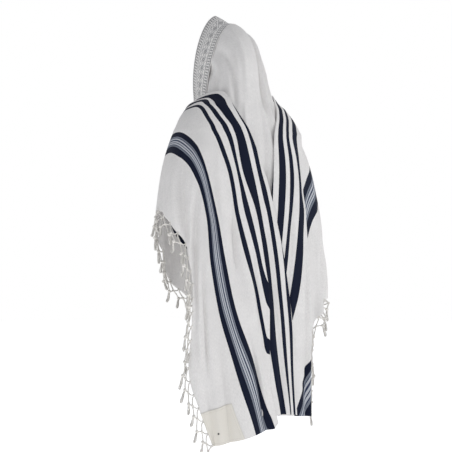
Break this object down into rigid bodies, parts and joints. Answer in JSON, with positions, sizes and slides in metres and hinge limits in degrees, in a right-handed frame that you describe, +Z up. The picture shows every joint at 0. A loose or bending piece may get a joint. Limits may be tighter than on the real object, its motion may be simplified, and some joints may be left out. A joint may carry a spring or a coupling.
{
  "type": "tallit prayer shawl",
  "caption": "Ivory wool prayer shawl with navy bands, worn as an open hood and cape over head and shoulders, with a woven neckband, corner patches and knotted fringe.",
  "frame": {"origin": "The crown of the wearer's head, where the hood rests on it.", "axes": "+Z up; the wearer faces -Y, so the shawl's back hangs on the +Y side; +X is the wearer's left."},
  "size_m": [0.615, 0.3542, 1.459],
  "materials": {
    "wool": "matt woven wool, ivory with navy and grey-blue warp bands",
    "brocade": "silver-grey woven brocade band with a soft metallic sheen",
    "patch_twill": "cream twill corner patch with an overcast eyelet",
    "fringe_yarn": "twisted ivory wool yarn, netted and knotted"
  },
  "bodies": {
    "root": {"hood_and_middle": "wool", "left_wing": "wool", "left_panel": "wool", "right_panel": "wool", "right_wing": "wool", "neckband": "brocade", "patch_back_left": "patch_twill", "patch_front_left": "patch_twill", "patch_back_right": "patch_twill", "patch_front_right": "patch_twill", "fringe_left": "fringe_yarn", "fringe_right": "fringe_yarn"}
  },
  "joints": []
}
